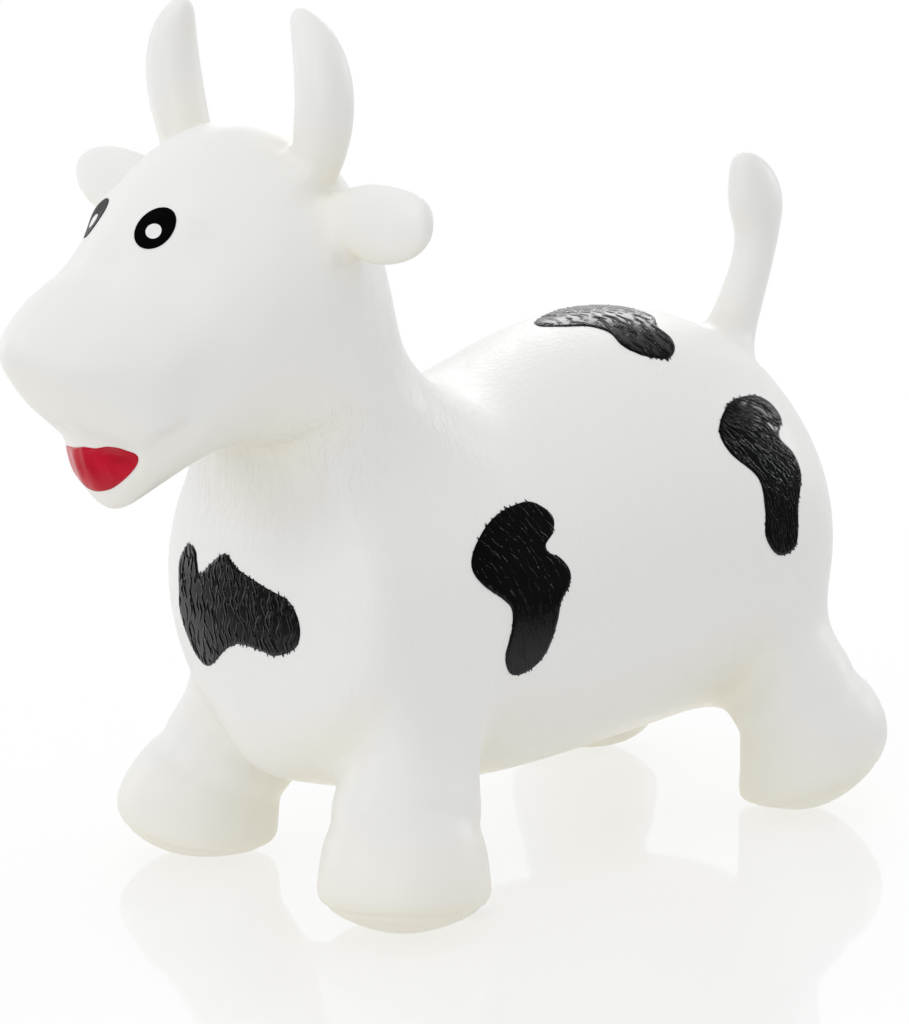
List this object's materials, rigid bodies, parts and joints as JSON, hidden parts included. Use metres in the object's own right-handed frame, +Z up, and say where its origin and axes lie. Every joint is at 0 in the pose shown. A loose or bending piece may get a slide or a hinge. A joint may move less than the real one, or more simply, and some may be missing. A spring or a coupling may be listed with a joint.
{
  "type": "inflatable ride-on cow",
  "caption": "Soft inflated ride-on cow with horns, floppy ears, an upright tail and stubby splayed legs, for a small child to sit on and bounce",
  "frame": {"origin": "on the floor, under the middle of the toy's box", "axes": "+Z up, the cow faces -Y, its left side is +X"},
  "size_m": [0.2906, 0.5712, 0.4935],
  "materials": {
    "skin_white": "soft satin PVC with faint moulded fur",
    "paint_black": "satin black paint over moulded hair",
    "paint_white": "satin",
    "paint_red": "glossy red paint",
    "valve_white": "satin"
  },
  "bodies": {
    "feet": {"foot_front_left": "skin_white", "foot_front_right": "skin_white", "foot_rear_left": "skin_white", "foot_rear_right": "skin_white"},
    "torso": {"torso": "skin_white", "neck": "skin_white", "tail_root": "skin_white", "valve_boss": "valve_white", "patch_chest": "paint_black", "patch_back": "paint_black", "patch_flank_left": "paint_black", "patch_flank_right": "paint_black", "patch_rump_left": "paint_black", "patch_rump_right": "paint_black", "leg_front_left": "skin_white", "leg_front_right": "skin_white", "leg_rear_left": "skin_white", "leg_rear_right": "skin_white"},
    "head": {"head": "skin_white", "mouth": "paint_red", "horn_root_left": "skin_white", "ear_root_left": "skin_white", "eye_left": "paint_black", "eye_dot_left": "paint_white", "horn_root_right": "skin_white", "ear_root_right": "skin_white", "eye_right": "paint_black", "eye_dot_right": "paint_white"},
    "horn_left": {"horn_left": "skin_white"},
    "horn_right": {"horn_right": "skin_white"},
    "ear_left": {"ear_left": "skin_white"},
    "ear_right": {"ear_right": "skin_white"},
    "tail": {"tail": "skin_white"},
    "valve_plug": {"valve_plug": "valve_white"}
  },
  "joints": [
    {"name": "bounce", "type": "slide", "parent": "feet", "child": "torso", "axis": [0, 0, 1], "range_m": [-0.03, 0], "stiffness_N_per_m": 5000, "springref_m": 0.004, "deforming": ["leg_front_left", "leg_front_right", "leg_rear_left", "leg_rear_right"]},
    {"name": "head_nod", "type": "hinge", "parent": "torso", "child": "head", "pos_m": [0, -0.09493, 0.28109], "axis": [1, 0, 0], "range_deg": [-8, 8], "stiffness_Nm_per_rad": 15, "springref_deg": -1.72, "deforming": ["neck"]},
    {"name": "tail_flex", "type": "hinge", "parent": "torso", "child": "tail", "pos_m": [0, 0.25357, 0.28911], "axis": [1, 0, 0], "range_deg": [-20, 20], "stiffness_Nm_per_rad": 1.5, "deforming": ["tail_root"]},
    {"name": "horn_left_flex", "type": "hinge", "parent": "head", "child": "horn_left", "pos_m": [0.05166, -0.12866, 0.41168], "axis": [0, 1, 0], "range_deg": [-12, 12], "stiffness_Nm_per_rad": 1.5, "deforming": ["horn_root_left"]},
    {"name": "horn_right_flex", "type": "hinge", "parent": "head", "child": "horn_right", "pos_m": [-0.05166, -0.12866, 0.41168], "axis": [0, 1, 0], "range_deg": [-12, 12], "stiffness_Nm_per_rad": 1.5, "deforming": ["horn_root_right"]},
    {"name": "ear_left_flex", "type": "hinge", "parent": "head", "child": "ear_left", "pos_m": [0.09002, -0.13076, 0.38688], "axis": [0, 1, 0], "range_deg": [-20, 20], "stiffness_Nm_per_rad": 1, "deforming": ["ear_root_left"]},
    {"name": "ear_right_flex", "type": "hinge", "parent": "head", "child": "ear_right", "pos_m": [-0.09002, -0.13076, 0.38688], "axis": [0, 1, 0], "range_deg": [-20, 20], "stiffness_Nm_per_rad": 1, "deforming": ["ear_root_right"]},
    {"name": "plug_pull", "type": "slide", "parent": "torso", "child": "valve_plug", "axis": [0, 0, -1], "range_m": [0, 0.012]}
  ]
}
